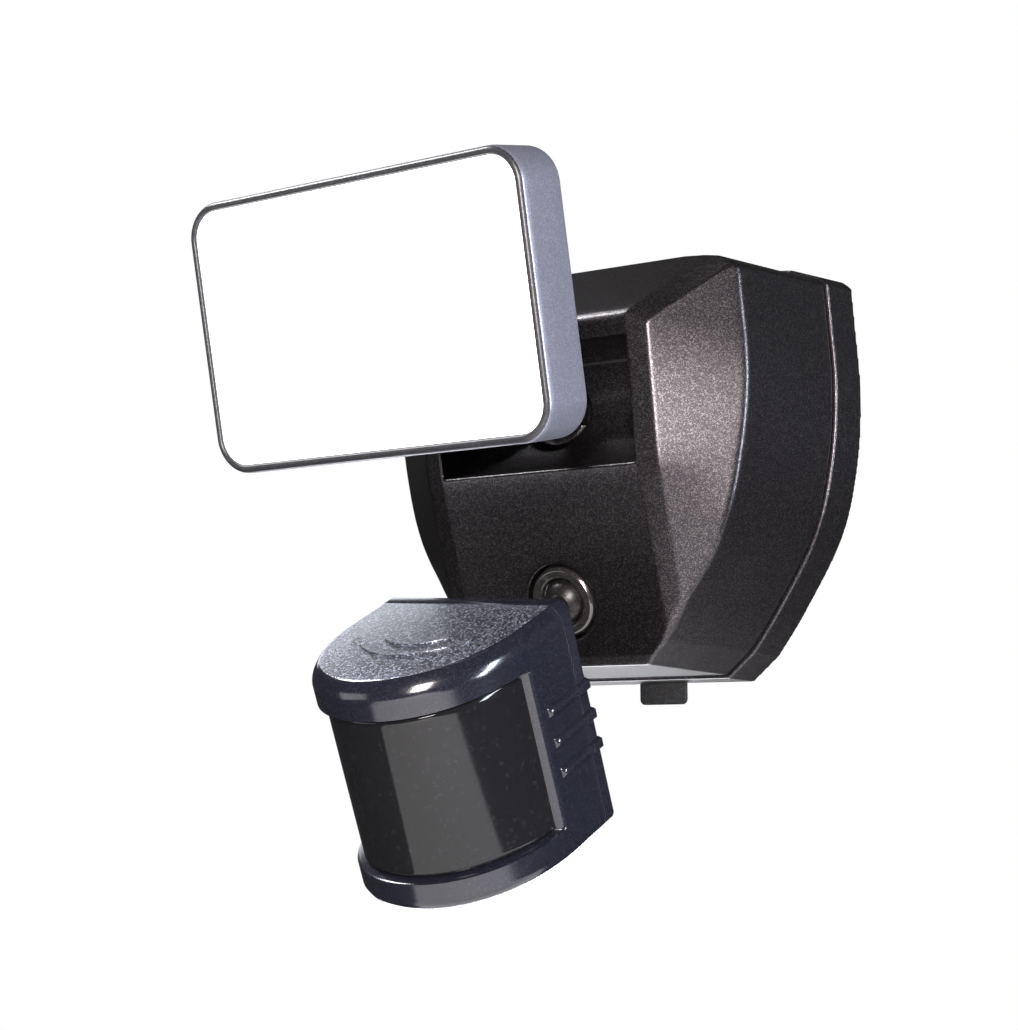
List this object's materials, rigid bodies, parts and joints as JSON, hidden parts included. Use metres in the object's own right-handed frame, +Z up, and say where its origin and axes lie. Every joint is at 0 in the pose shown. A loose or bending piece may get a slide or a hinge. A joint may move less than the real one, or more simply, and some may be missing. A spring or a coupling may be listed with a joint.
{
  "type": "wall floodlight with motion sensor",
  "caption": "Wall-mounted LED floodlight with a motion sensor: dark bronze housing, a tilting rectangular lamp head and a swivelling sensor head below it.",
  "frame": {"origin": "on the back face of the mounting plate, where the wall is, level with the middle of the plate", "axes": "+Y into the wall, -Y out to the front, +Z up, +X to the right seen from the front"},
  "size_m": [0.164, 0.1858, 0.2307],
  "materials": {
    "bronze_paint": "dark bronze sparkle paint on a die-cast shell",
    "graphite_paint": "graphite satin paint on a die casting",
    "gloss_black": "gloss black moulding with a fine sparkle",
    "smoked_window": "smoked, smooth and glossy",
    "pale_plastic": "pale grey satin moulding",
    "diffuser_white": "white satin, lit from behind",
    "board_white": "white coated LED board",
    "arm_paint": "dark bronze paint",
    "screw_steel": "plain steel",
    "plate_zinc": "dull zinc plate",
    "foam_rubber": "matt foam rubber",
    "nylon": "natural nylon",
    "circuit_board": "green board",
    "relay_blue": "blue moulding",
    "terminal_green": "green moulding",
    "dark_plastic": "dark satin moulding",
    "lead_jacket": "black jacket"
  },
  "bodies": {
    "housing": {"mounting_plate": "plate_zinc", "wall_gasket": "foam_rubber", "rear_base": "bronze_paint", "housing_seal": "foam_rubber", "front_cover": "bronze_paint", "cover_screw_1": "screw_steel", "cover_screw_2": "screw_steel", "cover_screw_3": "screw_steel", "cover_screw_4": "screw_steel", "control_board": "circuit_board", "relay": "relay_blue", "terminal_block": "terminal_green", "capacitor": "dark_plastic", "driver_module": "dark_plastic", "lamp_collar": "bronze_paint", "sensor_collar": "bronze_paint", "lamp_socket_cup": "nylon", "sensor_socket_cup": "nylon", "lamp_lead": "lead_jacket", "sensor_lead": "lead_jacket"},
    "lamp_arm": {"lamp_ball_stem": "arm_paint", "lamp_lock_nut": "screw_steel"},
    "knuckle": {"lamp_knuckle": "arm_paint", "knuckle_screw": "screw_steel", "knuckle_nut": "screw_steel"},
    "lamp_head": {"lamp_frame": "graphite_paint", "lamp_diffuser": "diffuser_white", "lamp_seal": "foam_rubber", "light_guide": "diffuser_white", "led_board": "board_white", "lamp_rear_cover": "graphite_paint", "lamp_screw_1": "screw_steel", "lamp_screw_2": "screw_steel", "lamp_screw_3": "screw_steel", "lamp_screw_4": "screw_steel"},
    "sensor_liner": {"sensor_ball_liner": "nylon"},
    "sensor_arm": {"sensor_ball_stem": "arm_paint", "sensor_lock_nut": "screw_steel"},
    "sensor_head": {"sensor_front_body": "gloss_black", "sensor_window": "smoked_window", "sensor_back_cover": "gloss_black", "sensor_bottom_plate": "pale_plastic", "sensor_board": "circuit_board", "pir_element": "screw_steel", "sensor_screw_1": "screw_steel", "sensor_screw_2": "screw_steel", "sensor_screw_3": "screw_steel", "sensor_screw_4": "screw_steel"},
    "time_dial": {"time_knob": "dark_plastic"},
    "range_dial": {"range_knob": "dark_plastic"}
  },
  "joints": [
    {"name": "lamp_pan", "type": "hinge", "parent": "housing", "child": "lamp_arm", "pos_m": [0, -0.064, 0.0275], "axis": [0, 0, 1], "range_deg": [-20, 20]},
    {"name": "lamp_twist", "type": "hinge", "parent": "lamp_arm", "child": "knuckle", "pos_m": [0, -0.064, 0.0275], "axis": [-0.0242, -0.9918, 0.1253], "range_deg": [-30, 30]},
    {"name": "lamp_tilt", "type": "hinge", "parent": "knuckle", "child": "lamp_head", "pos_m": [-0.00164, -0.1313, 0.036], "axis": [0.9997, -0.0244, 0], "range_deg": [-30, 40]},
    {"name": "sensor_pan", "type": "hinge", "parent": "housing", "child": "sensor_liner", "pos_m": [0, -0.063, -0.0368], "axis": [0, -0.3223, 0.9466], "range_deg": [-20, 20]},
    {"name": "sensor_tilt", "type": "hinge", "parent": "sensor_liner", "child": "sensor_arm", "pos_m": [0, -0.063, -0.0368], "axis": [0.9997, -0.0244, 0], "range_deg": [-14, 20]},
    {"name": "sensor_twist", "type": "hinge", "parent": "sensor_arm", "child": "sensor_head", "pos_m": [0, -0.063, -0.0368], "axis": [-0.0221, -0.9023, -0.4305], "range_deg": [-30, 30]},
    {"name": "time_turn", "type": "hinge", "parent": "sensor_head", "child": "time_dial", "pos_m": [-0.01945, -0.10723, -0.11848], "axis": [0.0505, -0.4311, 0.9009], "range_deg": [-135, 135]},
    {"name": "range_turn", "type": "hinge", "parent": "sensor_head", "child": "range_dial", "pos_m": [0.01051, -0.10717, -0.12013], "axis": [0.0505, -0.4311, 0.9009], "range_deg": [-135, 135]}
  ]
}
